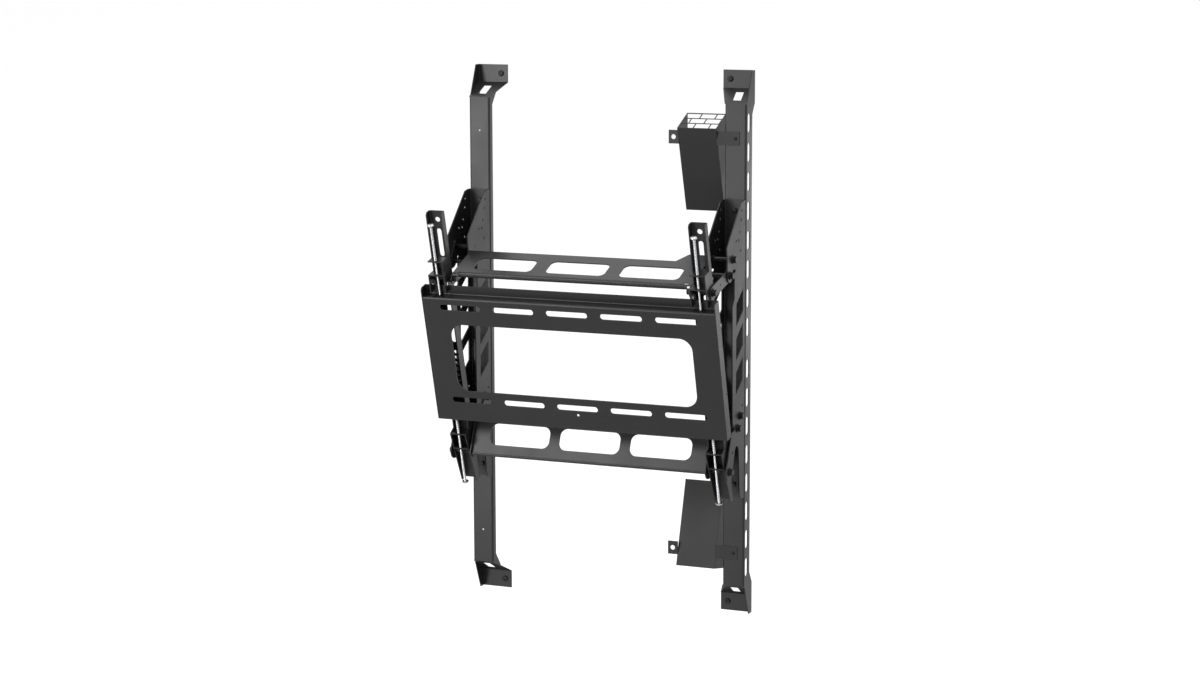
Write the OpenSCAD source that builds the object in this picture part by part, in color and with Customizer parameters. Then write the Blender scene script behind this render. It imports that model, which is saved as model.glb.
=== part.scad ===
// Tilting wall mount for a large upright display.
// The origin is the middle of the wall slots on the plate's wall face: X runs along the wall, Y from
// the wall toward the display and Z up. Pieces are drawn from the middle of the plate, and what tilts
// from the pivot axis, before it is leaned by the tilt.

/* [Wall plate] */
// Width of the wall plate over its end caps
plate_w = 1103; // [1060:1:1200]
// Height of the wall plate's face
plate_h = 478; // [460:1:500]
// Depth of the wall plate's folded edges
plate_d = 40; // [38:0.5:42]
// Sheet thickness of the wall plate
plate_t = 4; // [3:0.5:5]
// Height of the lip that the arms hang on
lip_h = 33; // [28:1:36]
// Distance between the wall slots along a row
wall_pitch = 203.2; // [190:0.1:208]
// Length of a wall slot
wall_slot_l = 155; // [100:1:165]
// Width of a wall slot
wall_slot_w = 21; // [12:1:26]
// Width of the plate's window
window_w = 910; // [800:1:920]
// Height of the plate's window
window_h = 258; // [200:1:262]
// Corner radius of the window
window_r = 47; // [20:1:60]

/* [Arms] */
// Distance of each arm's middle from the centre plane
side_x = 490; // [485:1:496]
// Width of an arm's channel
arm_w = 62; // [58:1:64]
// Distance of an arm's web from the wall
arm_y = 87; // [84:1:92]
// Sheet thickness of the arms
arm_t = 4; // [3:0.5:5]
// Height of an arm above the plate's middle
arm_top = 535; // [515:1:560]
// Depth of an arm below the plate's middle
arm_bottom = 507; // [495:1:530]
// Height of the link's pivot on the arm
link_pivot_z = 289.7; // [288:0.1:292]
// Depth of the tilt pivot below the plate's middle
pivot_drop = 381; // [372:1:390]

/* [Tilt] */
// Tilt of the display, top edge away from the wall
tilt = 15.28; // [13:0.01:16]
// Distance from the tilt pivot to the display's back
display_y = 241; // [235:1:250]
// Length of a tilt link between its two bolts
link_l = 162; // [156:1:168]
// Width of a tilt link
link_w = 45; // [40:1:46]
// Thickness of a tilt link
link_t = 5; // [4:0.5:6]

/* [Rails] */
// Half the length of a rail
rail_half = 970; // [960:1:1010]
// Width of a rail
rail_w = 80; // [76:1:84]
// Height of a rail's web above the display's back
rail_d = 86; // [82:1:90]
// Sheet thickness of the rails
rail_t = 3; // [2.5:0.5:4]
// Distance of the display screws from the rails' ends
screw_inset = 32; // [30:1:40]
// Distance between the left and the right display screws
screw_pitch_x = 880; // [874:1:890]
// Distance between the slots along a rail's side
rail_pitch = 102.4; // [96:0.1:104]
// Length of a slot in a rail's side
rail_slot_l = 67; // [40:1:80]
// Width of a slot in a rail's side
rail_slot_w = 26; // [16:1:30]

/* [Cross braces] */
// Depth of the upper brace's top
brace_d = 161; // [155:1:168]
// Sheet thickness of both braces
brace_t = 4; // [3:0.5:5]
// Length of the lower brace's sloping face
lower_brace_d = 141; // [136:1:145]
// Length of a slot in the lower brace
lower_slot_l = 232; // [180:1:240]
// Length of a slot in the upper brace
upper_slot_l = 222; // [180:1:235]

/* [Air duct covers] */
// Width of an air duct cover
cover_w = 145; // [120:1:150]
// Depth of an air duct cover at its grille
cover_d = 100; // [90:1:110]
// Length of an air duct cover's sloping face
cover_l = 297; // [260:1:320]
// Sheet thickness of the covers
cover_t = 2; // [1.5:0.5:3]

/* [Screws and bolts] */
// Diameter of the adjusting screws
screw_d = 10; // [8:0.5:12]
// Diameter of the bolts in the mechanism
bolt_d = 16; // [12:1:16]
// Diameter of the washers on those bolts
washer_d = 30; // [26:1:30]

/* [Hidden] */

$fn = 48;
// Overrun of every cut past the faces that it opens
over = 1;
// Radial clearance of a bolt or screw that turns in its hole
turn_gap = 0.05;
// Gap between flat parts that slide past each other
slide_gap = 0.3;
// Radial clearance of a plain bolt hole
hole_gap = 0.25;
black = "#2b2b2d";
zinc = "#c9cbcd";

// Outer radius of the folds, and where a fold's corner is cut before it is rounded
fold_r = 7;
fold_chord = 1.2 * fold_r;

// Wall plate
plate_top = plate_h / 2;
lip_top = plate_top + lip_h;
slot_row_top = 36;
slot_row_bottom = 84;
window_rise = 10;
cap_front_h = 25;
cap_chamfer = 8;
vent_hole_d = 10;
vent_hole_rise = 57;
cap_hole_d = 6;
cap_hole_inset = 7;
cap_hole_heights_share = [0.45, -0.31];

// Arm: the two flanges step toward the wall at different heights, each with a tab bent from it
arm_lip_gap = 4;
step_high = 370;
step_low = 318;
step_y = 57;
front_y = 14;
hook_rise = 12;
hook_bottom = plate_top + hook_rise;
hook_y = plate_d - plate_t - arm_lip_gap;
notch_rise = 13;
notch_top = lip_top + notch_rise;
behind_y = plate_d + arm_lip_gap;
foot_clear = 61;
foot_step = plate_top + foot_clear;
foot_step_fall = 10;
foot_front_y = 55;
top_clip = 8;
lower_tab_drop = 57;
tab_side_gap = 1;
web_hole_d = 19;
web_hole_drop = 33;
web_slot_w = 18;
web_slot_drop = 67;
web_slot_l = 105;
web_long_slot_drop = 265;
web_long_slot_l = 239;
web_bore_d = 13;
web_bore_drop = 542;
web_bore_pitch = 21.7;
web_bores = 7;
pivot_y = 46;
link_pivot_y = 60.5;
link_rise = link_pivot_z + pivot_drop;
link_run = link_pivot_y - pivot_y;
link_lobe_r = link_w / 2;
link_mid_share = 0.47;
link_mid_d = 7;

// Ears, drawn about the tilt pivot
ear_t = 4;
ear_in = arm_w / 2 + slide_gap + link_t + slide_gap;
ear_w = 2 * (ear_in + ear_t);
web_y = display_y - rail_d;
bracket_y = web_y - ear_t;
ear_top = 935;
ear_foot = -121;
pivot_lobe_r = 31;
lock_lobe_r = 25;
arch_r = 21;
arch_y = 71;
arch_z = 58;
ear_bend_cut = 22;
lock_notch_rise = 16;
// Points of an ear's edge, as shares of the web's distance and of the ear's top
ear_block_shares = [[0.697, 0.995], [-0.071, 0.868], [-0.239, 0.839], [-0.194, 0.779]];
ear_edge_shares = [
    [0.27, 0.642], [0.142, 0.618], [0.181, 0.174], [0.316, 0.151], [0.123, 0.142], [-0.181, 0.015]
];
ear_notch_share = 0.27;
ear_foot_shares = [[0.677, -0.105], [0.748, -0.123]];
lock_low = [-5, 690];
lock_high = [24, 742];
low_end = turned(lock_low) - [link_run, link_rise];
low_hole = low_end * link_l / norm(low_end);
high_hole = low_hole + turned(lock_high - lock_low);
brace_low = [80, 141];
brace_high = [105, 181];
station_hole_shares = [
    [0.706, 0.966], [0.671, 0.932], [0.581, 0.887], [0.523, 0.858], [0.355, 0.858], [0.652, 0.818],
    [0.29, 0.749], [0.815, 0.228], [0.177, 0.067]
];
station_hole_d = 10;
lightening_in = 60;
lightening_out = 129;
lightening_top = 629;
lightening_h = 79;
lightening_slant = 48;
lightening_pitch = 120.5;
lightening_count = 3;

// Rails, with their middle above the pivot
rail_mid = 410;
rail_r = 7;
slope_reach = 114;
foot_l = 65;
web_end = rail_half - slope_reach;
foot_start = rail_half - foot_l;
foot_reach = 36;
flange_clear = 26;
ramp_reach = 153;
ramp_l = 40;
flange_ramp_start = rail_half - ramp_reach;
flange_ramp_end = flange_ramp_start + ramp_l;
flange_foot_y = 30;
inner_flange_d = 26;
inner_flare_d = 66;
first_slot = 74;
slots_each_way = 1 + floor((web_end - first_slot - rail_slot_l / 2) / rail_pitch);
slot_line = 60;
slope_window_w = 30;
slope_window_in = 22;
slope_window_top = 18;
slope_window_from_share = 0.24;
slope_window_to_share = 0.76;
rail_bolt_d = 12;
rail_bolt_heights = [896, 560, 230, -76];
cover_hole_d = 6.5;
cover_screw_d = 6;
cover_hole_z = 737;
screw_pitch_z = 2 * (rail_half - screw_inset);
// Side view of the strip that a rail's web, slopes and feet are bent from, from the rail's middle
strip_path = [
    [display_y, -rail_half], [display_y, -foot_start], [web_y + rail_t, -web_end],
    [web_y + rail_t, web_end], [display_y, foot_start], [display_y, rail_half]
];

// Braces
brace_end = side_x - ear_in - ear_t - slide_gap;
nut_seat = brace_end - brace_t - side_x;
brace_front_y = 64;
brace_front_z = 311;
brace_slope = 6.7;
brace_lip = 17;
brace_lip_gap = 3;
brace_flare = 50;
flare_start = 334;
flare_end = 366;
upper_slot_front = 32;
upper_slot_d = 83;
upper_slot_r = 22;
slot_pitch = 276;
lower_slot_front = 42;
lower_slot_d = 79;
lower_slot_r = 27;
lower_slot_pitch = 271;
lower_lip = 9;
lower_front = [-24, -8];
lower_slope = 67.7;
lower_dir = [cos(lower_slope), sin(lower_slope)];
brace_hole_l = 21;
brace_hole_w = 9;
brace_hole_x = 426.5;
brace_hole_in = 12.5;
gusset_r = 20;
gusset_edge = 18;

// Air duct covers
cover_x = 278;
upper_cover_edge = 770;
lower_cover_edge = 798;
cover_roof_rise = 45;
cover_tip_d = 5;
cover_tab_h = 48;
cover_tab_left = 36;
cover_tab_right = 84;
cover_tab_hole_d = 17;
cover_wall_hole_d = 7;
grille_bar = 3.5;
grille_rows = 3;
grille_columns = 3;

// Screws and bolts
head_h = 10;
head_d = 24;
nut_h = 12;
washer_t = 3;
rail_head_d = 19;
rail_head_h = 8;
rail_nut_h = 10;
adjust_head_d = 25;
adjust_head_h = 11;
dome_r = (adjust_head_h * adjust_head_h + adjust_head_d * adjust_head_d / 4) / 2 / adjust_head_h;
adjust_upper_y = 26;
adjust_lower_y = 22;
adjust_upper_top = 507;
adjust_lower_bottom = 500;
display_screw_d = 8;
display_head_d = 22;
display_head_h = 6;
display_stud = 18;
display_neck = 0.5;
display_neck_d = 6.5;
spacer_d = 26;
cover_head_d = 12;
cover_head_h = 4;

function unit(v) = v / norm(v);
function left_of(v) = [-v[1], v[0]];
function corner(a, b, c, t) =
    let (m = left_of(unit(b - a)), n = left_of(unit(c - b))) b + (m + n) * t / (1 + m * n);
// Outline of a bent sheet of thickness t, which lies to the left of its path
function sheet(p, t) = let (n = len(p) - 1) concat(p, [
    for (i = [n:-1:0])
        i == 0 ? p[0] + left_of(unit(p[1] - p[0])) * t
        : i == n ? p[n] + left_of(unit(p[n] - p[n - 1])) * t
        : corner(p[i - 1], p[i], p[i + 1], t)
]);

// A side view in Y and Z, made t thick along X
module side_view(t) {
    rotate([90, 0, 90]) linear_extrude(t) children();
}
// A front view in X and Z, made t deep along Y
module front_view(t) {
    translate([0, t, 0]) rotate([90, 0, 0]) linear_extrude(t) children();
}
module round_rect(w, h, r) {
    square([w - 2 * r, h], center = true);
    square([w, h - 2 * r], center = true);
    for (x = [-1, 1], y = [-1, 1]) translate([x * (w / 2 - r), y * (h / 2 - r)]) circle(r);
}
module slot(l, w) {
    square([l - w, w], center = true);
    for (x = [-1, 1]) translate([x * (l - w) / 2, 0]) circle(d = w);
}
// Cross-section of a fold whose outer corner is at the origin, in sheet of thickness t
module fold(t) {
    intersection() {
        square(fold_r);
        translate([fold_r, fold_r]) difference() {
            circle(fold_r);
            circle(fold_r - t);
        }
    }
}
// Cuts a square corner at the origin back to the middle of its fold; the body is below and left
module fold_cut() {
    polygon([[over, over], [-fold_chord - over, over], [over, -fold_chord - over]]);
}
// Rounds the long folds of an upright channel of width w, whose web's outer face is at y
module round_channel(w, y, low, high, t) {
    difference() {
        children();
        for (s = [0, 1]) mirror([s, 0, 0]) translate([w / 2, y, low - over])
            linear_extrude(high - low + 2 * over) fold_cut();
    }
    for (s = [0, 1]) mirror([s, 0, 0]) translate([w / 2, y, low])
        linear_extrude(high - low) rotate(180) fold(t);
}
// Rounds the fold between a brace's sheet and its lip, to half its length on both sides
module round_front(half) {
    difference() {
        children();
        translate([-half, 0, 0]) side_view(2 * half) mirror([1, 0]) fold_cut();
    }
    translate([-half, 0, 0]) side_view(2 * half) mirror([0, 1]) fold(brace_t);
}
module both_sides() {
    children();
    mirror([1, 0, 0]) children();
}
// Places what tilts: its own origin is on the pivot axis
module tilted() {
    translate([0, pivot_y, -pivot_drop]) rotate([-tilt, 0, 0]) children();
}
// A bolt along X with its head outward; x is the head's seat and inside the length below the washer
module cross_bolt(x, inside, d, head) {
    translate([x - inside, 0, 0]) rotate([0, 90, 0]) cylinder(d = d, h = inside + washer_t);
    translate([x, 0, 0]) rotate([0, 90, 0]) cylinder(d = washer_d, h = washer_t);
    translate([x + washer_t, 0, 0]) rotate([0, 90, 0]) cylinder(d = head, h = head_h, $fn = 6);
}
module cross_nut(x, d) {
    translate([x - nut_h, 0, 0]) rotate([0, 90, 0]) difference() {
        cylinder(d = head_d, h = nut_h, $fn = 6);
        translate([0, 0, -over]) cylinder(d = d + 2 * turn_gap, h = nut_h + 2 * over);
    }
}
module cross_ring(x, l, od, d) {
    translate([x, 0, 0]) rotate([0, 90, 0]) difference() {
        cylinder(d = od, h = l);
        translate([0, 0, -over]) cylinder(d = d + 2 * turn_gap, h = l + 2 * over);
    }
}

// Side view of the plate's folded edges: a flange below, and above a flange that turns up into the lip
module plate_edges() {
    for (s = [0, 1]) mirror([0, s]) translate([0, -plate_top]) fold(plate_t);
    translate([fold_r, -plate_top]) square([plate_d - fold_r, plate_t]);
    translate([fold_r, plate_top - plate_t]) square([plate_d - 2 * fold_r, plate_t]);
    translate([plate_d, plate_top - plate_t]) mirror([1, 0]) fold(plate_t);
    translate([plate_d - plate_t, plate_top - plate_t + fold_r])
        square([plate_t, lip_h + plate_t - fold_r]);
}
// The pressed plate that is screwed to the wall
module wall_plate() {
    color(black) difference() {
        union() {
            front_view(plate_t) square([plate_w, plate_h - 2 * fold_r], center = true);
            translate([-plate_w / 2, 0, 0]) side_view(plate_w) plate_edges();
            both_sides() translate([plate_w / 2 - plate_t, 0, 0]) side_view(plate_t) polygon([
                [0, fold_chord - plate_top], [fold_chord, -plate_top], [plate_d, -plate_top],
                [plate_d, lip_top], [cap_chamfer, lip_top], [0, plate_top + cap_front_h]
            ]);
        }
        translate([0, -over, 0]) front_view(plate_t + 2 * over) {
            for (i = [-2:2]) {
                translate([i * wall_pitch, plate_top - slot_row_top]) slot(wall_slot_l, wall_slot_w);
                translate([i * wall_pitch, slot_row_bottom - plate_top]) slot(wall_slot_l, wall_slot_w);
            }
            translate([0, window_rise]) round_rect(window_w, window_h, window_r);
            translate([0, vent_hole_rise - plate_top]) circle(d = vent_hole_d);
        }
        for (s = cap_hole_heights_share)
            translate([-plate_w / 2 - over, plate_d - cap_hole_inset, s * plate_top])
                rotate([0, 90, 0]) cylinder(d = cap_hole_d, h = plate_w + 2 * over);
    }
}

// One flange of an arm, stepping toward the wall at the given height
module arm_flange(step) {
    side_view(arm_t) difference() {
        polygon([
            [arm_y, -arm_bottom], [arm_y, arm_top], [step_y + top_clip, arm_top],
            [step_y, arm_top - top_clip], [step_y, step], [front_y, step], [front_y, hook_bottom],
            [hook_y, hook_bottom], [hook_y, notch_top], [behind_y, notch_top],
            [behind_y, -foot_step + foot_step_fall], [front_y, -foot_step],
            [front_y, -foot_step - foot_step_fall], [foot_front_y, -arm_bottom]
        ]);
        translate([pivot_y, -pivot_drop]) circle(d = bolt_d + 2 * turn_gap);
        translate([link_pivot_y, link_pivot_z]) circle(d = bolt_d + 2 * turn_gap);
    }
}
// A tab across the arm, bent from the flange on the side that reach names
module arm_tab(z, reach, depth) {
    shift = reach > 0 ? arm_t + tab_side_gap : 0;
    translate([shift - arm_w / 2, front_y, z - arm_t])
        cube([arm_w - arm_t - tab_side_gap, depth - front_y, arm_t]);
}
module arm() {
    color(black) difference() {
        union() {
            round_channel(arm_w, arm_y, -arm_bottom, arm_top, arm_t) {
                translate([-arm_w / 2, 0, 0]) arm_flange(step_low);
                translate([arm_w / 2 - arm_t, 0, 0]) arm_flange(step_high);
                translate([-arm_w / 2, arm_y - arm_t, -arm_bottom])
                    cube([arm_w, arm_t, arm_top + arm_bottom]);
            }
            arm_tab(step_low, -1, step_y);
            arm_tab(step_high, 1, step_y);
            arm_tab(-foot_step, -1, step_y);
            arm_tab(-foot_step - lower_tab_drop, 1, step_y);
        }
        translate([0, adjust_upper_y, hook_bottom])
            cylinder(d = screw_d + 2 * turn_gap, h = arm_top - hook_bottom);
        translate([0, adjust_lower_y, -arm_bottom])
            cylinder(d = screw_d + 2 * turn_gap, h = arm_bottom - plate_top);
        translate([0, arm_y - arm_t - over, 0]) front_view(arm_t + 2 * over) {
            translate([0, arm_top - web_hole_drop]) circle(d = web_hole_d);
            translate([0, arm_top - web_slot_drop - web_slot_l / 2]) rotate(90)
                slot(web_slot_l, web_slot_w);
            translate([0, arm_top - web_long_slot_drop - web_long_slot_l / 2]) rotate(90)
                slot(web_long_slot_l, web_slot_w);
            for (i = [0:web_bores - 1])
                translate([0, arm_top - web_bore_drop - i * web_bore_pitch]) circle(d = web_bore_d);
        }
    }
}

// A long screw with its tip at the origin and a domed head at its far end
module adjusting_screw(l) {
    color(zinc) {
        cylinder(d = screw_d, h = l - adjust_head_h);
        translate([0, 0, l - adjust_head_h]) rotate_extrude() intersection() {
            square([adjust_head_d / 2, adjust_head_h]);
            translate([0, adjust_head_h - dome_r]) circle(dome_r);
        }
    }
}
module upper_screw() {
    translate([0, adjust_upper_y, plate_top]) adjusting_screw(adjust_upper_top - plate_top);
}
module lower_screw() {
    translate([0, adjust_lower_y, -plate_top]) mirror([0, 0, 1])
        adjusting_screw(adjust_lower_bottom - plate_top);
}

function turned(p) = [
    cos(tilt) * p[0] + sin(tilt) * p[1], cos(tilt) * p[1] - sin(tilt) * p[0]
];
module strap(a, b, r) {
    n = left_of(unit(b - a)) * r;
    polygon([a + n, b + n, b - n, a - n]);
    translate(a) circle(r);
    translate(b) circle(r);
}
// A link with bolt holes at the arm, at the low lock and at the high lock
module tilt_link() {
    arm_part = left_of(unit(low_hole)) * link_lobe_r;
    lobe_part = left_of(unit(high_hole - low_hole)) * link_lobe_r;
    color(black) translate([side_x + ear_in - slide_gap - link_t, link_pivot_y, link_pivot_z])
        side_view(link_t) difference() {
            union() {
                polygon([
                    arm_part, -arm_part, low_hole - arm_part, low_hole - lobe_part,
                    high_hole - lobe_part, high_hole + lobe_part,
                    corner([0, 0], low_hole, high_hole, link_lobe_r)
                ]);
                for (p = [[0, 0], low_hole, high_hole]) translate(p) circle(link_lobe_r);
            }
            circle(d = bolt_d + 2 * turn_gap);
            translate(low_hole) circle(d = bolt_d + 2 * hole_gap);
            translate(high_hole) circle(d = bolt_d + 2 * hole_gap);
            translate(low_hole * link_mid_share) circle(d = link_mid_d);
        }
}

module brace_slots(pitch, l, front, d, r) {
    for (i = [-1:1]) translate([i * pitch, front + d / 2]) round_rect(l, d, r);
}
// The brace across both arms that turns with the links
module upper_brace() {
    color(black) {
        lip_end = brace_end - brace_t - nut_h - brace_lip_gap;
        translate([0, brace_front_y, brace_front_z]) rotate([brace_slope, 0, 0])
            round_front(lip_end) {
                translate([0, 0, -brace_t]) linear_extrude(brace_t) difference() {
                    polygon([
                        [-brace_end, 0], [brace_end, 0], [brace_end, brace_d + brace_flare],
                        [flare_end, brace_d + brace_flare], [flare_start, brace_d], [-brace_end, brace_d]
                    ]);
                    brace_slots(slot_pitch, upper_slot_l, upper_slot_front, upper_slot_d,
                                upper_slot_r);
                    translate([brace_hole_x, brace_hole_in]) slot(brace_hole_l, brace_hole_w);
                }
                translate([-lip_end, 0, -brace_lip]) cube([2 * lip_end, brace_t, brace_lip]);
            }
        both_sides() translate([brace_end - brace_t, link_pivot_y, link_pivot_z])
            side_view(brace_t) difference() {
                union() {
                    under = left_of(unit(low_hole)) * gusset_edge;
                    polygon([
                        [0, 0], -under, low_hole - under, low_hole, brace_point(brace_d), brace_point(0)
                    ]);
                    circle(gusset_r);
                    translate(low_hole) circle(gusset_r);
                }
                circle(d = bolt_d + 2 * turn_gap);
                translate(low_hole) circle(d = bolt_d + 2 * turn_gap);
            }
    }
}
// A point in the middle of the upper brace's sheet, seen from the link's pivot
function brace_point(v) = [
    brace_front_y - link_pivot_y + v * cos(brace_slope) + brace_t / 2 * sin(brace_slope),
    brace_front_z - link_pivot_z + v * sin(brace_slope) - brace_t / 2 * cos(brace_slope)
];
// The brace that joins both ear brackets between the pivots
module lower_brace() {
    color(black) tilted() {
        translate([0, lower_front[0], lower_front[1]]) rotate([lower_slope, 0, 0])
            round_front(brace_end - 2 * brace_t) {
                translate([0, 0, -brace_t]) linear_extrude(brace_t) difference() {
                    translate([-brace_end, 0]) square([2 * brace_end, lower_brace_d]);
                    brace_slots(lower_slot_pitch, lower_slot_l, lower_slot_front, lower_slot_d,
                                lower_slot_r);
                }
                translate([-brace_end, 0, -lower_lip]) cube([2 * brace_end, brace_t, lower_lip]);
            }
        both_sides() translate([brace_end - brace_t, 0, 0]) side_view(brace_t) difference() {
            union() {
                circle(gusset_r);
                polygon([
                    lower_front, [gusset_r, 0], brace_low + [gusset_r, 0], brace_low, brace_high,
                    lower_front + lower_brace_d * lower_dir
                ]);
                strap(brace_low, brace_high, gusset_r);
            }
            circle(d = bolt_d + 2 * hole_gap);
            translate(brace_low) circle(d = bolt_d + 2 * hole_gap);
            translate(brace_high) circle(d = bolt_d + 2 * hole_gap);
        }
    }
}

function ear_point(s) = [s[0] * web_y, s[1] * ear_top];
// One ear, seen from the side
module ear() {
    difference() {
        union() {
            polygon(concat(
                [[web_y, ear_foot], [web_y, ear_top], [web_y - ear_bend_cut, ear_top]],
                [for (s = ear_block_shares) ear_point(s)],
                [lock_low - [lock_lobe_r, 0], lock_low + [lock_lobe_r, 0],
                 lock_low + [lock_lobe_r, lock_notch_rise],
                 [ear_notch_share * web_y, lock_low[1] + lock_notch_rise]],
                [for (s = ear_edge_shares) ear_point(s)],
                [[pivot_lobe_r, 0], [arch_y - arch_r, arch_z], [arch_y + arch_r, arch_z]],
                [for (s = ear_foot_shares) ear_point(s)],
                [[web_y - ear_bend_cut, ear_foot]]
            ));
            circle(pivot_lobe_r);
            translate(lock_low) circle(lock_lobe_r);
        }
        translate([arch_y, arch_z]) circle(arch_r);
        circle(d = bolt_d + 2 * hole_gap);
        for (p = [lock_low, lock_high, brace_low, brace_high])
            translate(p) circle(d = bolt_d + 2 * hole_gap);
        for (s = station_hole_shares) translate(ear_point(s)) circle(d = station_hole_d);
        for (i = [0:lightening_count - 1]) translate([0, lightening_top - i * lightening_pitch])
            polygon([
                [lightening_out, 0], [lightening_out, -lightening_h],
                [lightening_in, -lightening_h - lightening_slant], [lightening_in, -lightening_slant]
            ]);
    }
}
// The channel over a rail that carries the pivot and the locks
module ear_bracket() {
    color(black) tilted() translate([side_x, 0, 0]) difference() {
        round_channel(ear_w, web_y, ear_foot, ear_top, ear_t) {
            translate([ear_in, 0, 0]) side_view(ear_t) ear();
            translate([-ear_in - ear_t, 0, 0]) side_view(ear_t) ear();
            translate([-ear_w / 2, bracket_y, ear_foot]) cube([ear_w, ear_t, ear_top - ear_foot]);
        }
        for (z = rail_bolt_heights) translate([0, bracket_y - over, z])
            rotate([-90, 0, 0]) cylinder(d = rail_bolt_d + 2 * hole_gap, h = ear_t + 2 * over);
    }
}

module strip_front() {
    half = rail_w / 2;
    difference() {
        polygon([
            [half, -rail_half], [half, rail_half], [-half - foot_reach, rail_half],
            [-half - foot_reach, foot_start], [-half, web_end], [-half, -web_end],
            [-half - foot_reach, -foot_start], [-half - foot_reach, -rail_half]
        ]);
        for (s = [0, 1]) mirror([0, s, 0]) {
            slope = foot_start - web_end;
            low = web_end + slope_window_from_share * slope;
            high = web_end + slope_window_to_share * slope;
            polygon([
                [slope_window_in - half, low], [slope_window_in + slope_window_w - half, low],
                [slope_window_top + slope_window_w - half, high], [slope_window_top - half, high]
            ]);
            translate([screw_pitch_x / 2 - side_x, screw_pitch_z / 2])
                circle(d = display_screw_d + 2 * hole_gap);
            translate([0, cover_hole_z]) circle(d = cover_hole_d);
        }
        for (z = rail_bolt_heights) translate([0, z - rail_mid])
            circle(d = rail_bolt_d + 2 * hole_gap);
    }
}
module rail() {
    half = rail_w / 2;
    color(black) tilted() translate([side_x, 0, rail_mid]) {
        difference() {
            intersection() {
                translate([-half - foot_reach, 0, 0]) side_view(rail_w + foot_reach)
                    polygon(sheet(strip_path, rail_t));
                translate([0, web_y - over, 0]) front_view(rail_d + 2 * over) strip_front();
            }
            for (s = [0, 1]) mirror([s, 0, 0]) translate([half, web_y, -web_end])
                linear_extrude(2 * web_end) difference() {
                    translate([-rail_r, -over]) square([rail_r + over, rail_r + over]);
                    translate([-rail_r, rail_r]) circle(rail_r);
                }
        }
        for (s = [0, 1]) mirror([s, 0, 0]) translate([half - rail_r, web_y + rail_r, -web_end])
            linear_extrude(2 * web_end) difference() {
                intersection() {
                    circle(rail_r);
                    translate([0, -rail_r]) square(rail_r);
                }
                circle(rail_r - rail_t);
            }
        outer_flange();
        inner_flange();
    }
}
module outer_flange() {
    translate([rail_w / 2 - rail_t, 0, 0]) side_view(rail_t) difference() {
        polygon([
            [web_y + rail_r, -web_end], [web_y + rail_r, web_end],
            [display_y - flange_foot_y, rail_half],
            [display_y, rail_half], [display_y, flange_ramp_end],
            [display_y - flange_clear, flange_ramp_start],
            [display_y - flange_clear, -flange_ramp_start], [display_y, -flange_ramp_end],
            [display_y, -rail_half], [display_y - flange_foot_y, -rail_half]
        ]);
        for (s = [-1, 1], i = [0:slots_each_way - 1])
            translate([display_y - slot_line, s * (first_slot + i * rail_pitch)])
                rotate(90) slot(rail_slot_l, rail_slot_w);
    }
}
// Height of the slope's middle at a depth behind the web's face
function slope_z(d) = web_end + d / rail_d * (foot_start - web_end);
module inner_flange() {
    flare = slope_z(inner_flare_d);
    translate([-rail_w / 2, 0, 0]) side_view(rail_t) polygon([
        [web_y + rail_r, -slope_z(rail_r)], [web_y + rail_r, slope_z(rail_r)],
        [web_y + inner_flare_d, flare], [web_y + inner_flare_d, flare - 2 * rail_r],
        [web_y + inner_flange_d, web_end - inner_flange_d],
        [web_y + inner_flange_d, inner_flange_d - web_end],
        [web_y + inner_flare_d, 2 * rail_r - flare], [web_y + inner_flare_d, -flare]
    ]);
}

// A wedge-shaped hood over an air vent, drawn upright with its near edge at z = 0
module cover_wall() {
    side_view(cover_t) polygon([
        [display_y, cover_roof_rise], [display_y - cover_d, 0],
        [display_y - cover_tip_d, -cover_l], [display_y, -cover_l]
    ]);
}
module cover_grille() {
    run = norm([cover_d, cover_roof_rise]);
    cell_d = (run - grille_bar) / grille_rows;
    cell_w = (cover_w - grille_bar) / (grille_columns - 1 / 2);
    difference() {
        square([cover_w, run]);
        translate([cover_t, cover_t]) intersection() {
            square([cover_w - 2 * cover_t, run - 2 * cover_t]);
            for (r = [0:grille_rows - 1], c = [-1:grille_columns - 1])
                translate([(c + (r % 2) / 2) * cell_w + grille_bar / 2, r * cell_d])
                    square([cell_w - grille_bar, cell_d - grille_bar]);
        }
    }
}
module duct_cover(tab_drop) {
    tab_y = web_y - cover_t;
    difference() {
        union() {
            cover_wall();
            translate([cover_w - cover_t, 0, 0]) cover_wall();
            side_view(cover_w) polygon(sheet([
                [display_y - cover_d + cover_t, 0], [display_y - cover_tip_d, -cover_l]
            ], -cover_t));
            translate([0, display_y - cover_d, 0]) rotate([atan(cover_roof_rise / cover_d), 0, 0])
                translate([0, 0, -cover_t]) linear_extrude(cover_t) cover_grille();
            translate([-cover_tab_left, tab_y, -tab_drop - cover_tab_h / 2])
                cube([cover_tab_left + cover_t, cover_t, cover_tab_h]);
            translate([cover_w - cover_t, tab_y, -tab_drop - cover_tab_h / 2])
                cube([cover_tab_right, cover_t, cover_tab_h]);
        }
        translate([0, tab_y - over, -tab_drop]) front_view(cover_t + 2 * over) {
            translate([-cover_tab_left / 2, 0]) circle(d = cover_tab_hole_d);
            translate([side_x - cover_x, 0]) circle(d = cover_hole_d);
        }
    }
}

// Places a piece on a bolt line at each side, p being its Y and Z about the tilt pivot
module on_ears(points) {
    both_sides() tilted() for (p = points) translate([side_x, p[0], p[1]]) children();
}
// Places a piece on the link's pivot at each side
module on_arms() {
    both_sides() translate([side_x, link_pivot_y, link_pivot_z]) children();
}

module link_bolts() {
    seat = ear_in - slide_gap;
    color(black) on_arms() cross_bolt(seat, seat - nut_seat + nut_h, bolt_d, head_d);
}
module link_nuts() {
    color(black) on_arms() cross_nut(nut_seat, bolt_d);
}
module link_spacers() {
    seat = brace_end - side_x + slide_gap;
    color(black) on_arms() cross_ring(seat, -arm_w / 2 - seat, spacer_d, bolt_d);
}
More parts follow.
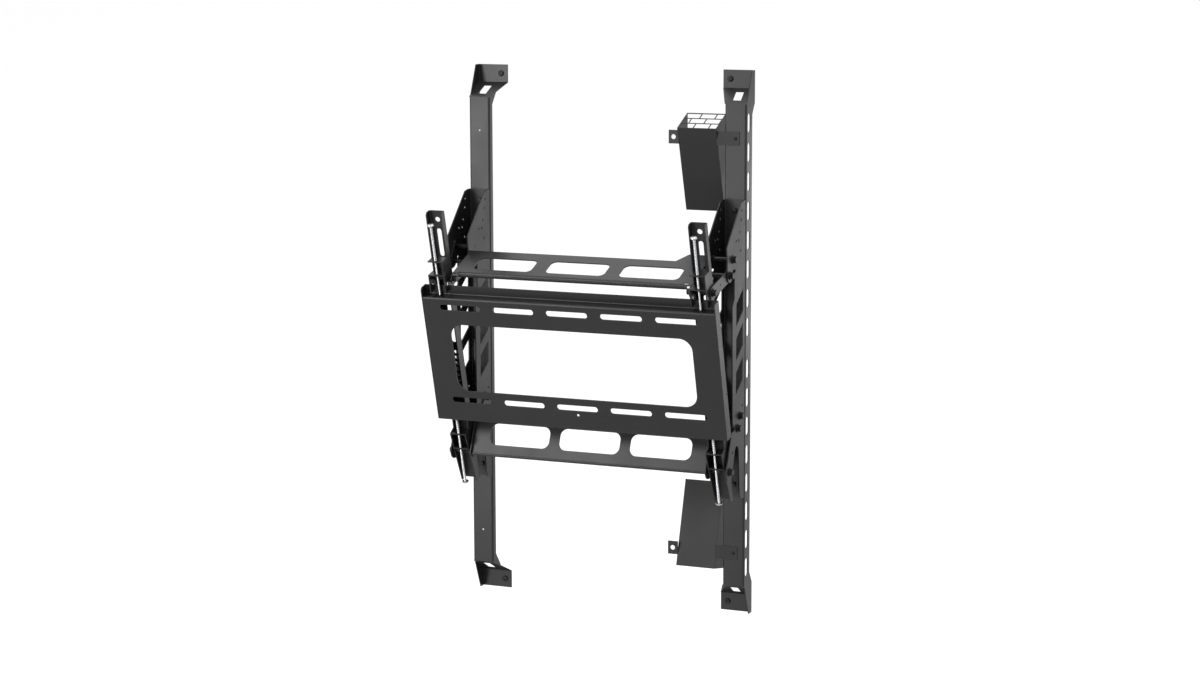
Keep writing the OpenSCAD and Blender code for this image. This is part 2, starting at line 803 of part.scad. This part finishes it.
// The nuts and bolt ends that hold the upper brace at the low lock
module strut_nuts() {
    color(black) on_arms() translate([nut_seat - nut_h, low_hole[0], low_hole[1]])
        rotate([0, 90, 0]) {
            cylinder(d = head_d, h = nut_h, $fn = 6);
            cylinder(d = bolt_d, h = nut_h + brace_t);
        }
}
module pivot_bolts() {
    color(black) on_ears([[0, 0]])
        cross_bolt(ear_in + ear_t, ear_in + ear_t - nut_seat + nut_h, bolt_d, head_d);
}
module pivot_nuts() {
    color(black) on_ears([[0, 0]]) cross_nut(nut_seat, bolt_d);
}
module pivot_spacers() {
    l = ear_in - arm_w / 2 - slide_gap;
    color(black) on_ears([[0, 0]]) {
        cross_ring(ear_in - l, l, spacer_d, bolt_d);
        cross_ring(-ear_in, l, spacer_d, bolt_d);
    }
}
// The tilt's lock bolts, open where the links swing past: a head and stub outside, a bar inside
module tilt_lock_bolts() {
    color(black) on_ears([lock_low, lock_high]) {
        cross_bolt(ear_in + ear_t, ear_t, bolt_d, head_d);
        translate([-ear_in - ear_t, 0, 0]) rotate([0, 90, 0])
            cylinder(d = bolt_d, h = ear_in + ear_t + arm_w / 2 + slide_gap / 2);
        translate([-ear_in, 0, 0]) rotate([0, 90, 0]) cylinder(d = head_d, h = nut_h, $fn = 6);
    }
}
module brace_bolts() {
    color(black) on_ears([brace_low, brace_high])
        cross_bolt(ear_in + ear_t, ear_in + ear_t - nut_seat + nut_h, bolt_d, head_d);
}
module brace_nuts() {
    color(black) on_ears([brace_low, brace_high]) cross_nut(nut_seat, bolt_d);
}
module rail_bolts() {
    color(black) both_sides() tilted() for (z = rail_bolt_heights)
        translate([side_x, bracket_y, z]) rotate([-90, 0, 0]) {
            cylinder(d = rail_bolt_d, h = ear_t + rail_t + rail_nut_h);
            translate([0, 0, -rail_head_h]) cylinder(d = rail_head_d, h = rail_head_h, $fn = 6);
        }
}
module rail_nuts() {
    color(black) both_sides() tilted() for (z = rail_bolt_heights)
        translate([side_x, web_y + rail_t, z]) rotate([-90, 0, 0]) difference() {
            cylinder(d = rail_head_d, h = rail_nut_h, $fn = 6);
            translate([0, 0, -over])
                cylinder(d = rail_bolt_d + 2 * turn_gap, h = rail_nut_h + 2 * over);
        }
}
module display_screws() {
    color(black) both_sides() tilted() for (s = [-1, 1])
        translate([screw_pitch_x / 2, display_y - rail_t, rail_mid + s * screw_pitch_z / 2])
            rotate([-90, 0, 0]) {
                cylinder(d = display_neck_d, h = rail_t + display_neck);
                translate([0, 0, rail_t + display_neck])
                    cylinder(d = display_screw_d, h = display_stud - display_neck);
                translate([0, 0, -display_head_h]) cylinder(d = display_head_d, h = display_head_h);
            }
}
module upper_duct_cover() {
    color(black) tilted() translate([cover_x, 0, rail_mid + upper_cover_edge])
        duct_cover(upper_cover_edge - cover_hole_z);
}
module lower_duct_cover() {
    color(black) tilted() translate([cover_x, 0, rail_mid - lower_cover_edge]) mirror([0, 0, 1])
        duct_cover(lower_cover_edge - cover_hole_z);
}
module cover_screws() {
    color(black) tilted() for (s = [-1, 1])
        translate([side_x, web_y - cover_t, rail_mid + s * cover_hole_z]) rotate([-90, 0, 0]) {
            cylinder(d = cover_screw_d, h = cover_t + rail_t + cover_head_h);
            translate([0, 0, -cover_head_h]) cylinder(d = cover_head_d, h = cover_head_h);
        }
}

// Moves the origin to the middle of the wall slots
module placed() {
    translate([0, 0, (slot_row_top - slot_row_bottom) / 2]) children();
}

placed() wall_plate();
placed() translate([-side_x, 0, 0]) arm();  // arm_left
placed() translate([side_x, 0, 0]) arm();  // arm_right
placed() translate([-side_x, 0, 0]) upper_screw();  // adjusting_screw_upper_left
placed() translate([side_x, 0, 0]) upper_screw();  // adjusting_screw_upper_right
placed() translate([-side_x, 0, 0]) lower_screw();  // adjusting_screw_lower_left
placed() translate([side_x, 0, 0]) lower_screw();  // adjusting_screw_lower_right
placed() upper_brace();
placed() mirror([1, 0, 0]) tilt_link();  // tilt_link_left
placed() tilt_link();  // tilt_link_right
placed() link_bolts();
placed() link_nuts();
placed() link_spacers();
placed() strut_nuts();
placed() lower_brace();
placed() mirror([1, 0, 0]) ear_bracket();  // ear_bracket_left
placed() ear_bracket();  // ear_bracket_right
placed() mirror([1, 0, 0]) rail();  // rail_left
placed() rail();  // rail_right
placed() pivot_bolts();
placed() pivot_nuts();
placed() pivot_spacers();
placed() tilt_lock_bolts();
placed() brace_bolts();
placed() brace_nuts();
placed() rail_bolts();
placed() rail_nuts();
placed() display_screws();
placed() upper_duct_cover();
placed() lower_duct_cover();
placed() cover_screws();
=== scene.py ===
import math

import bpy
from mathutils import Matrix, Vector


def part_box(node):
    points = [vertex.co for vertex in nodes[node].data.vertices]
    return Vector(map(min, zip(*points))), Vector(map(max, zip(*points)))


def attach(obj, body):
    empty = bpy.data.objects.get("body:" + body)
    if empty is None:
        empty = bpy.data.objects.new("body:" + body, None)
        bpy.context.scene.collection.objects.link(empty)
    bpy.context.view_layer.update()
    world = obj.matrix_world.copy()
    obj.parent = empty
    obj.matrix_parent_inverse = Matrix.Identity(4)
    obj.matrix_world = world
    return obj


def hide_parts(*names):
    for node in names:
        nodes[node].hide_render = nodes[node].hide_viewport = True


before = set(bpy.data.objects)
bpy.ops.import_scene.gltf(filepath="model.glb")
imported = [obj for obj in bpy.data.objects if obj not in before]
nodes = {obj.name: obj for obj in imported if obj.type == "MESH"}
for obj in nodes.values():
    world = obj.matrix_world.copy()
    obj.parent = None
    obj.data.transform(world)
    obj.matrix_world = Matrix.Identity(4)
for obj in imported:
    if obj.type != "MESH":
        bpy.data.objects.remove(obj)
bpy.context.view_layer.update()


# Wall plate: one sheet of 4 mm steel, punched with two rows of slots and a window, folded along its
# long edges and closed by welded end caps. It is powder coated satin black, so it is nearly as dark
# as ink, with a soft gloss and a fine orange peel. Every sharp edge is painted paler, partly for a
# thinner coat there and partly as a painted highlight.
def linear(code):
    """The linear colour of an sRGB hex code, with alpha."""
    parts = [int(code[i:i + 2], 16) / 255 for i in (1, 3, 5)]
    return [c / 12.92 if c <= 0.04045 else ((c + 0.055) / 1.055) ** 2.4 for c in parts] + [1.0]


def add(tree, kind, settings=None, links=None):
    """Adds a node with its settings, and links its inputs from other nodes' outputs."""
    made = tree.nodes.new(kind)
    for key, value in (settings or {}).items():
        if isinstance(key, int) or key in made.inputs:
            made.inputs[key].default_value = value
        else:
            setattr(made, key, value)
    for key, source in (links or {}).items():
        tree.links.new(source, made.inputs[key])
    return made


def powder_coat(name, coat, thin_coat_and_highlight, roughness, peel_mm, wear_and_highlight):
    """Baked powder coat on steel, its edges painted paler: part thin coat, part painted highlight.
    """
    made = bpy.data.materials.new(name)
    made.use_nodes = True
    tree = made.node_tree
    shader = tree.nodes["Principled BSDF"]
    shader.inputs["IOR"].default_value = 1.5
    place = add(tree, "ShaderNodeTexCoord").outputs["Object"]
    clouds = add(tree, "ShaderNodeTexNoise", {"Scale": 7.0, "Detail": 3.0}, {"Vector": place})
    shade = add(tree, "ShaderNodeMapRange",
                {"From Min": 0.3, "From Max": 0.7, "To Min": 0.86, "To Max": 1.14},
                {"Value": clouds.outputs[0]})
    tone = add(tree, "ShaderNodeHueSaturation", {"Color": linear(coat)},
               {"Value": shade.outputs[0]})
    bumps_per_metre = 1000 / peel_mm
    peel = add(tree, "ShaderNodeTexNoise",
               {"Scale": bumps_per_metre, "Detail": 2.0, "Roughness": 0.6}, {"Vector": place})
    # The paler edge colour, partly a thinner coat and partly a painted highlight, lies where the
    # rounded normal leaves the flat one, so on sharp edges, in patches
    soft = add(tree, "ShaderNodeBevel", {"samples": 4, "Radius": 0.0016})
    flat = add(tree, "ShaderNodeNewGeometry")
    turn = add(tree, "ShaderNodeVectorMath", {"operation": "DOT_PRODUCT"},
               {0: soft.outputs[0], 1: flat.outputs["Normal"]})
    worn_edge_and_highlight = add(tree, "ShaderNodeMapRange",
               {"From Min": 0.995, "From Max": 0.86, "To Min": 0.0, "To Max": wear_and_highlight},
               {"Value": turn.outputs["Value"]})
    spots = add(tree, "ShaderNodeTexNoise", {"Scale": 60.0, "Detail": 4.0}, {"Vector": place})
    patchy = add(tree, "ShaderNodeMapRange",
                 {"From Min": 0.4, "From Max": 0.62, "To Min": 0.25, "To Max": 1.0},
                 {"Value": spots.outputs[0]})
    worn_edge_and_highlight_patches = add(tree, "ShaderNodeMath", {"operation": "MULTIPLY"},
                 {0: worn_edge_and_highlight.outputs[0], 1: patchy.outputs[0]})
    colour = add(tree, "ShaderNodeMix", {"data_type": "RGBA"},
                 {"Factor": worn_edge_and_highlight_patches.outputs[0], 6: tone.outputs[0]})
    colour.inputs[7].default_value = linear(thin_coat_and_highlight)
    smoothest, dullest = roughness - 0.04, roughness + 0.05
    gloss = add(tree, "ShaderNodeMapRange",
                {"From Min": 0.3, "From Max": 0.7, "To Min": smoothest, "To Max": dullest},
                {"Value": clouds.outputs[0]})
    bump = add(tree, "ShaderNodeBump", {"Strength": 0.35, "Distance": 0.0002},
               {"Height": peel.outputs[0], "Normal": soft.outputs[0]})
    tree.links.new(colour.outputs[2], shader.inputs["Base Color"])
    tree.links.new(gloss.outputs[0], shader.inputs["Roughness"])
    tree.links.new(bump.outputs[0], shader.inputs["Normal"])
    return made


def paint(material, *names):
    """Gives CAD nodes their finish, in their own material slots."""
    for name in names:
        piece = nodes[name]
        if not piece.material_slots:
            piece.data.materials.append(material)
        for place in piece.material_slots:
            place.material = material


# Each coat's second colour is painted on its sharp edges: partly a thinner coat, partly a painted
# highlight
satin_black = powder_coat("satin_black_powder_coat", "#151517", "#4c4d4f",
                          roughness=0.36, peel_mm=2.4, wear_and_highlight=0.5)
paint(satin_black, "wall_plate")


# Levelling arms: two channels of 4 mm steel that hang on the plate's lip, each with tabs bent
# across it for the adjusting screws. They are coated like the plate, a shade darker.
arm_black = powder_coat("satin_black_powder_coat_arms", "#141416", "#4a4b4d",
                        roughness=0.38, peel_mm=2.4, wear_and_highlight=0.55)
paint(arm_black, "arm_left", "arm_right")


# Adjusting screws: four M10 screws of bright zinc-plated steel that level the arms on the plate.
# The thread is rolled, so it has rounded crests, and the domed head has a socket for a hex key.
def alone(piece):
    """Leaves one piece selected and active."""
    bpy.ops.object.select_all(action="DESELECT")
    piece.select_set(True)
    bpy.context.view_layer.objects.active = piece


def apply_all(piece):
    """Applies every modifier of a piece, in order."""
    alone(piece)
    for modifier in list(piece.modifiers):
        bpy.ops.object.modifier_apply(modifier=modifier.name)


def pick(piece, kind, wanted):
    """In edit mode, selects just the vertices or faces that wanted() accepts."""
    bpy.ops.mesh.select_mode(type=kind)
    bpy.ops.mesh.select_all(action="DESELECT")
    bpy.ops.object.mode_set(mode="OBJECT")
    found = {"VERT": piece.data.vertices, "FACE": piece.data.polygons}[kind]
    for item in found:
        item.select = wanted(item)
    bpy.ops.object.mode_set(mode="EDIT")


def join(pieces, name):
    """Joins pieces into one, under the given name."""
    alone(pieces[0])
    for piece in pieces:
        piece.select_set(True)
    bpy.ops.object.join()
    joined = bpy.context.view_layer.objects.active
    joined.name = joined.data.name = name
    return joined


merge_distance = 0.00001


def thread(length, radius, pitch, depth):
    """A rolled thread along Z from the origin: one turn's profile wound up to the length, with its
    turns welded together and both ends closed."""
    crest_low, crest_high = 0.3 * pitch, 0.7 * pitch
    steps_per_turn = 16
    bpy.ops.object.select_all(action="DESELECT")
    bpy.ops.mesh.primitive_grid_add(x_subdivisions=1, y_subdivisions=5, size=pitch)
    made = bpy.context.object
    bpy.ops.object.mode_set(mode="EDIT")
    pick(made, "VERT", lambda v: v.co.x > 0)
    bpy.ops.mesh.delete(type="VERT")
    bpy.ops.mesh.select_all(action="SELECT")
    bpy.ops.transform.rotate(value=math.pi / 2, orient_axis="X", center_override=(0, 0, 0))
    bpy.ops.transform.translate(value=(pitch / 2 + radius - depth, 0, pitch / 2))
    pick(made, "VERT", lambda v: crest_low < abs(v.co.z) < crest_high)
    bpy.ops.transform.translate(value=(depth, 0, 0))
    bpy.ops.object.mode_set(mode="OBJECT")
    wind = made.modifiers.new("wind", "SCREW")
    wind.screw_offset = pitch
    wind.iterations = int(length / pitch)
    wind.steps = wind.render_steps = steps_per_turn
    wind.use_merge_vertices = True
    wind.use_normal_calculate = True
    apply_all(made)
    bpy.ops.object.mode_set(mode="EDIT")
    bpy.ops.mesh.select_mode(type="VERT")
    bpy.ops.mesh.select_all(action="SELECT")
    bpy.ops.mesh.remove_doubles(threshold=merge_distance)
    bpy.ops.mesh.fill_holes(sides=0)
    bpy.ops.object.mode_set(mode="OBJECT")
    return made


def domed_head(wide, high, socket, neck, neck_length):
    """A domed screw head on a neck, rising from the origin along Z, with a hex socket on top."""
    dome, rim_chamfer, tip_chamfer = high * 0.86, high * 0.06, neck * 0.1
    socket_middle = high * 0.95
    level, dead_level = 0.9, 0.99
    bpy.ops.object.select_all(action="DESELECT")
    bpy.ops.mesh.primitive_cylinder_add(vertices=48, radius=wide / 2, depth=high,
                                        location=(0, 0, high / 2))
    head = bpy.context.object
    bpy.ops.object.transform_apply(location=True, rotation=True, scale=True)
    bpy.ops.object.mode_set(mode="EDIT")
    pick(head, "FACE", lambda f: f.normal.z > level)
    bpy.ops.mesh.bevel(offset=dome, segments=7, affect="EDGES", profile=0.5)
    pick(head, "FACE", lambda f: f.normal.z < -level)
    bpy.ops.mesh.bevel(offset=rim_chamfer, segments=2, affect="EDGES")
    pick(head, "FACE", lambda f: f.normal.z < -dead_level)
    bpy.ops.mesh.inset(thickness=wide / 2 - rim_chamfer - neck / 2)
    bpy.ops.mesh.extrude_region_move(TRANSFORM_OT_translate={"value": (0, 0, -neck_length)})
    bpy.ops.mesh.bevel(offset=tip_chamfer, segments=2, affect="EDGES")
    bpy.ops.object.mode_set(mode="OBJECT")
    bpy.ops.object.select_all(action="DESELECT")
    bpy.ops.mesh.primitive_cylinder_add(vertices=6, radius=socket / 2, depth=high,
                                        location=(0, 0, socket_middle))
    key = bpy.context.object
    sink = head.modifiers.new("socket", "BOOLEAN")
    sink.operation, sink.object, sink.solver = "DIFFERENCE", key, "EXACT"
    apply_all(head)
    bpy.data.objects.remove(key)
    alone(head)
    bpy.ops.object.shade_smooth_by_angle(angle=math.radians(35))
    return head


def settle(piece, place):
    """Moves a piece to its place by a matrix, and puts that place into its mesh."""
    alone(piece)
    piece.matrix_world = place
    bpy.ops.object.transform_apply(location=True, rotation=True, scale=True)


def zinc(name):
    """Bright zinc plate: a blue-white metal with faint clouds from the bath and drawing marks."""
    made = bpy.data.materials.new(name)
    made.use_nodes = True
    tree = made.node_tree
    shader = tree.nodes["Principled BSDF"]
    shader.inputs["Metallic"].default_value = 1.0
    place = add(tree, "ShaderNodeTexCoord").outputs["Object"]
    clouds = add(tree, "ShaderNodeTexNoise", {"Scale": 55.0, "Detail": 4.0}, {"Vector": place})
    tint = add(tree, "ShaderNodeValToRGB", {}, {"Fac": clouds.outputs[0]})
    tint.color_ramp.elements[0].color = linear("#b9bbbf")
    tint.color_ramp.elements[1].color = linear("#dddee0")
    dull = add(tree, "ShaderNodeMapRange", {"To Min": 0.2, "To Max": 0.3},
               {"Value": clouds.outputs[0]})
    marks = add(tree, "ShaderNodeTexNoise", {"Scale": 1500.0, "Detail": 2.0}, {"Vector": place})
    bump = add(tree, "ShaderNodeBump", {"Strength": 0.15, "Distance": 0.0001},
               {"Height": marks.outputs[0]})
    tree.links.new(tint.outputs[0], shader.inputs["Base Color"])
    tree.links.new(dull.outputs[0], shader.inputs["Roughness"])
    tree.links.new(bump.outputs[0], shader.inputs["Normal"])
    return made


bright_zinc = zinc("bright_zinc_plate")
screw_head_high = 0.007
for end in ("upper", "lower"):
    for side in ("left", "right"):
        node = f"adjusting_screw_{end}_{side}"
        low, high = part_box(node)
        middle = (low + high) / 2
        length = high.z - low.z - screw_head_high
        core = thread(length, radius=0.005, pitch=0.0015, depth=0.0009)
        head = domed_head(high.x - low.x, screw_head_high, socket=0.012, neck=0.0082,
                          neck_length=0.004)
        settle(head, Matrix.Translation((0, 0, length)))
        screw = join([core, head], f"threaded_{node}")
        # The upper screws stand on their tips, and the lower ones hang head down from theirs
        flip = Matrix.Identity(4) if end == "upper" else Matrix.Rotation(math.pi, 4, "X")
        tip = low.z if end == "upper" else high.z
        settle(screw, Matrix.Translation((middle.x, middle.y, tip)) @ flip)
        screw.data.materials.append(bright_zinc)
        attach(screw, f"screw_{end}_{side}")
        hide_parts(node)


# Tilt links and the braces: flat steel links bolted to the arms, the pressed brace between them
# that keeps the arms in step, and its partner between the ear brackets. The braces' coat is a
# shade paler than the arms', with a coarser peel.
brace_black = powder_coat("semi_gloss_black_powder_coat_braces", "#18181a", "#525355",
                          roughness=0.37, peel_mm=2.8, wear_and_highlight=0.5)
paint(arm_black, "tilt_link_left", "tilt_link_right")
paint(brace_black, "upper_brace", "lower_brace")


# Ear brackets: channels of 4 mm steel over the rails. Their ears carry the tilt's pivots and locks,
# and a row of slanted windows, laser cut, whose edges are painted paler, partly for a thin coat and
# partly as a painted highlight. They are less glossy than the rails that they clasp.
bracket_black = powder_coat("satin_black_powder_coat_brackets", "#161618", "#505153",
                            roughness=0.43, peel_mm=2.4, wear_and_highlight=0.6)
paint(bracket_black, "ear_bracket_left", "ear_bracket_right")


# Rails: two long bent strips with slotted flanges, screwed to the display through their feet. They
# have the smoothest coat of all, so the light slides along them.
rail_black = powder_coat("smooth_black_powder_coat_rails", "#18181a", "#57585a",
                         roughness=0.32, peel_mm=3.2, wear_and_highlight=0.5)
paint(rail_black, "rail_left", "rail_right")


# Air duct covers: thin folded hoods over the display's vents, with a lattice of bars at the mouth.
# Their coat is matt and very fine, so that no light comes back out of the duct. The lower hood's
# mouth runs flatter than the upper one's, so a copy of its solid has that mouth's rise pressed.
cover_black = powder_coat("matt_black_powder_coat_covers", "#131314", "#3a3b3d",
                          roughness=0.5, peel_mm=1.6, wear_and_highlight=0.4)
paint(cover_black, "upper_duct_cover")

tilt_at_rest = math.radians(15.28)
lean = Matrix.Rotation(-tilt_at_rest, 4, "X")
solid_rise_mm, real_rise_mm = 45, 20
flatter = real_rise_mm / solid_rise_mm
same_plane = 0.0005
hood = bpy.data.objects.new("flat_mouthed_lower_hood", nodes["lower_duct_cover"].data.copy())
bpy.context.collection.objects.link(hood)
hood.data.materials.clear()
hood.data.materials.append(cover_black)
settle(hood, lean.inverted())
front = min(v.co.y for v in hood.data.vertices)
lip = min(v.co.z for v in hood.data.vertices if v.co.y < front + same_plane)
bpy.ops.object.mode_set(mode="EDIT")
bpy.ops.mesh.select_all(action="SELECT")
bpy.ops.mesh.remove_doubles(threshold=merge_distance)
pick(hood, "VERT", lambda v: v.co.z < lip)
bpy.ops.transform.resize(value=(1, 1, flatter), center_override=(0, front, lip))
bpy.ops.object.mode_set(mode="OBJECT")
settle(hood, lean)
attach(hood, "display_side")
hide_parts("lower_duct_cover")


# Nuts and bolts: hexagon M16 and M12 fasteners of blackened steel with washers. Their corners are
# chamfered, and oil keeps the oxide dark with a soft metal sheen.
def blackened(name):
    """Black oxide on steel: a thin dark skin that still shines, browner where it is rubbed."""
    made = bpy.data.materials.new(name)
    made.use_nodes = True
    tree = made.node_tree
    shader = tree.nodes["Principled BSDF"]
    shader.inputs["Metallic"].default_value = 0.7
    place = add(tree, "ShaderNodeTexCoord").outputs["Object"]
    rubbed = add(tree, "ShaderNodeTexNoise", {"Scale": 130.0, "Detail": 4.0}, {"Vector": place})
    tint = add(tree, "ShaderNodeValToRGB", {}, {"Fac": rubbed.outputs[0]})
    tint.color_ramp.elements[0].position = 0.35
    tint.color_ramp.elements[0].color = linear("#1b1b1c")
    tint.color_ramp.elements[1].position = 0.75
    tint.color_ramp.elements[1].color = linear("#3a3836")
    dull = add(tree, "ShaderNodeMapRange", {"To Min": 0.3, "To Max": 0.48},
               {"Value": rubbed.outputs[0]})
    grain = add(tree, "ShaderNodeTexNoise", {"Scale": 900.0, "Detail": 2.0}, {"Vector": place})
    bump = add(tree, "ShaderNodeBump", {"Strength": 0.2, "Distance": 0.0001},
               {"Height": grain.outputs[0]})
    tree.links.new(tint.outputs[0], shader.inputs["Base Color"])
    tree.links.new(dull.outputs[0], shader.inputs["Roughness"])
    tree.links.new(bump.outputs[0], shader.inputs["Normal"])
    return made


black_oxide = blackened("black_oxide_steel")
hex_nodes = ("link_bolts", "link_nuts", "link_spacers", "strut_nuts", "pivot_bolts", "pivot_nuts",
             "pivot_spacers", "tilt_lock_bolts", "brace_bolts", "brace_nuts",
             "rail_bolts", "rail_nuts")
paint(black_oxide, *hex_nodes)
for name in hex_nodes:
    weld = nodes[name].modifiers.new("weld", "WELD")
    weld.merge_threshold = merge_distance
    plain = nodes[name].modifiers.new("flatten", "DECIMATE")
    plain.decimate_type = "DISSOLVE"
    plain.angle_limit = math.radians(0.5)
    chamfer = nodes[name].modifiers.new("chamfer", "BEVEL")
    chamfer.width = 0.0009
    chamfer.segments = 2
    chamfer.limit_method = "ANGLE"
    chamfer.angle_limit = math.radians(40)


# Display and cover screws: button-headed M8 and M6 screws of the same blackened steel, with a hex
# socket. The display screws clamp the rails' feet, and the cover screws the covers' tabs.
upright = Matrix.Rotation(math.radians(90), 4, "X")
for name, wide, high, thick, socket in (
        ("display_screws", 0.022, 0.006, 0.008, 0.0065),
        ("cover_screws", 0.012, 0.004, 0.006, 0.0045)):
    # One node holds all its screws, which the quarters that they lie in tell apart
    points = [lean.inverted() @ v.co for v in nodes[name].data.vertices]
    halfway = (min(p.z for p in points) + max(p.z for p in points)) / 2
    quarters = {}
    for p in points:
        quarters.setdefault((p.x > 0, p.z > halfway), []).append(p)
    heads = []
    for quarter in quarters.values():
        low = Vector([min(p[i] for p in quarter) for i in range(3)])
        top = Vector([max(p[i] for p in quarter) for i in range(3)])
        head = domed_head(wide, high, socket, thick, top.y - low.y - high)
        seat = Vector(((low.x + top.x) / 2, low.y + high, (low.z + top.z) / 2))
        settle(head, lean @ Matrix.Translation(seat) @ upright)
        heads.append(head)
    screws = join(heads, f"button_head_{name}")
    screws.data.materials.append(black_oxide)
    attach(screws, "display_side")
    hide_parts(name)


# Floor and backdrop: a plain pale floor as far below the mount as a real one, in a white room. The
# camera sees both as white, and the floor keeps the soft shadow.
floor_height, floor_size = -1.75, 60
bpy.ops.object.select_all(action="DESELECT")
bpy.ops.mesh.primitive_plane_add(size=floor_size, location=(0, 0, floor_height))
floor = bpy.context.object
floor.name = "floor"
pale = bpy.data.materials.new("pale_matt_floor")
pale.use_nodes = True
tree = pale.node_tree
shader = tree.nodes["Principled BSDF"]
shader.inputs["Base Color"].default_value = linear("#e6e6e6")
shader.inputs["Roughness"].default_value = 0.9
shader.inputs["Specular IOR Level"].default_value = 0.1
shader.inputs["Emission Color"].default_value = (1, 1, 1, 1)
floor_glow = 0.5
rays = add(tree, "ShaderNodeLightPath")
glow = add(tree, "ShaderNodeMath", {"operation": "MULTIPLY", 1: floor_glow},
           {0: rays.outputs["Is Camera Ray"]})
tree.links.new(glow.outputs[0], shader.inputs["Emission Strength"])
floor.data.materials.append(pale)

# The room is white to the camera and in every mirror image, and lights the mount more dimly
room_light = 0.6
world = bpy.data.worlds.new("white_room")
bpy.context.scene.world = world
world.use_nodes = True
tree = world.node_tree
sky = tree.nodes["Background"]
sky.inputs["Color"].default_value = (1, 1, 1, 1)
rays = add(tree, "ShaderNodeLightPath")
seen = add(tree, "ShaderNodeMath", {"operation": "MAXIMUM"},
           {0: rays.outputs["Is Camera Ray"], 1: rays.outputs["Is Glossy Ray"]})
through = add(tree, "ShaderNodeMath", {"operation": "MAXIMUM"},
              {0: seen.outputs[0], 1: rays.outputs["Is Transmission Ray"]})
level = add(tree, "ShaderNodeMapRange", {"To Min": room_light, "To Max": 1.0},
            {"Value": through.outputs[0]})
tree.links.new(level.outputs[0], sky.inputs["Strength"])


# Lamps: a broad softbox over the mount, and four that gloss faces send back to the camera. The
# left one shows in the leaning rails, and the higher one beside it in the lower brace. Of the two
# behind the mount, the low one shows in the ears' sides and the high one in the braces' tops.
def softbox(name, place, aim, wide, high, watts):
    """An area lamp at a place, turned to what it lights."""
    bpy.ops.object.light_add(type="AREA", location=place)
    lamp = bpy.context.object
    lamp.name = name
    lamp.data.shape = "RECTANGLE"
    lamp.data.size, lamp.data.size_y = wide, high
    lamp.data.energy = watts
    lamp.visible_camera = False
    lamp.rotation_euler = (Vector(aim) - Vector(place)).to_track_quat("-Z", "Y").to_euler()


softbox("top_softbox", (0.8, 0.6, 4.2), aim=(0, 0.2, 0.2), wide=3.0, high=2.4, watts=60)
softbox("left_softbox", (-2.95, -5.6, 1.0), aim=(-0.3, 0.2, 0), wide=2.0, high=2.4, watts=72)
softbox("high_left_softbox", (-2.15, -2.9, 2.7), aim=(0.1, 0.15, -0.4),
        wide=1.4, high=1.8, watts=48)
softbox("low_back_softbox", (1.7, 3.7, -1.1), aim=(0, 0.1, 0), wide=2.2, high=1.2, watts=9)
softbox("high_back_softbox", (-2.1, 3.9, 3.1), aim=(0, 0.2, 0), wide=3.0, high=2.4, watts=14)


# Camera: at the photograph's place, a long lens above and to the right of the mount, with the
# picture's slight turn in its three axes.
lens = bpy.data.cameras.new("camera")
lens.sensor_width = 36
lens.lens = 81.28
lens.clip_end = 100
camera = bpy.data.objects.new("camera", lens)
bpy.context.collection.objects.link(camera)
place = Vector((3.6619, -7.8212, 3.7746))
right = Vector((0.923318, 0.369851, -0.103418))
down = Vector((0.058868, -0.402412, -0.913564))
ahead = Vector((-0.379499, 0.837422, -0.393326))
turned = Matrix((right, -down, -ahead)).transposed().to_4x4()
camera.matrix_world = Matrix.Translation(place) @ turned
bpy.context.scene.camera = camera
bpy.context.scene.view_settings.view_transform = "Standard"
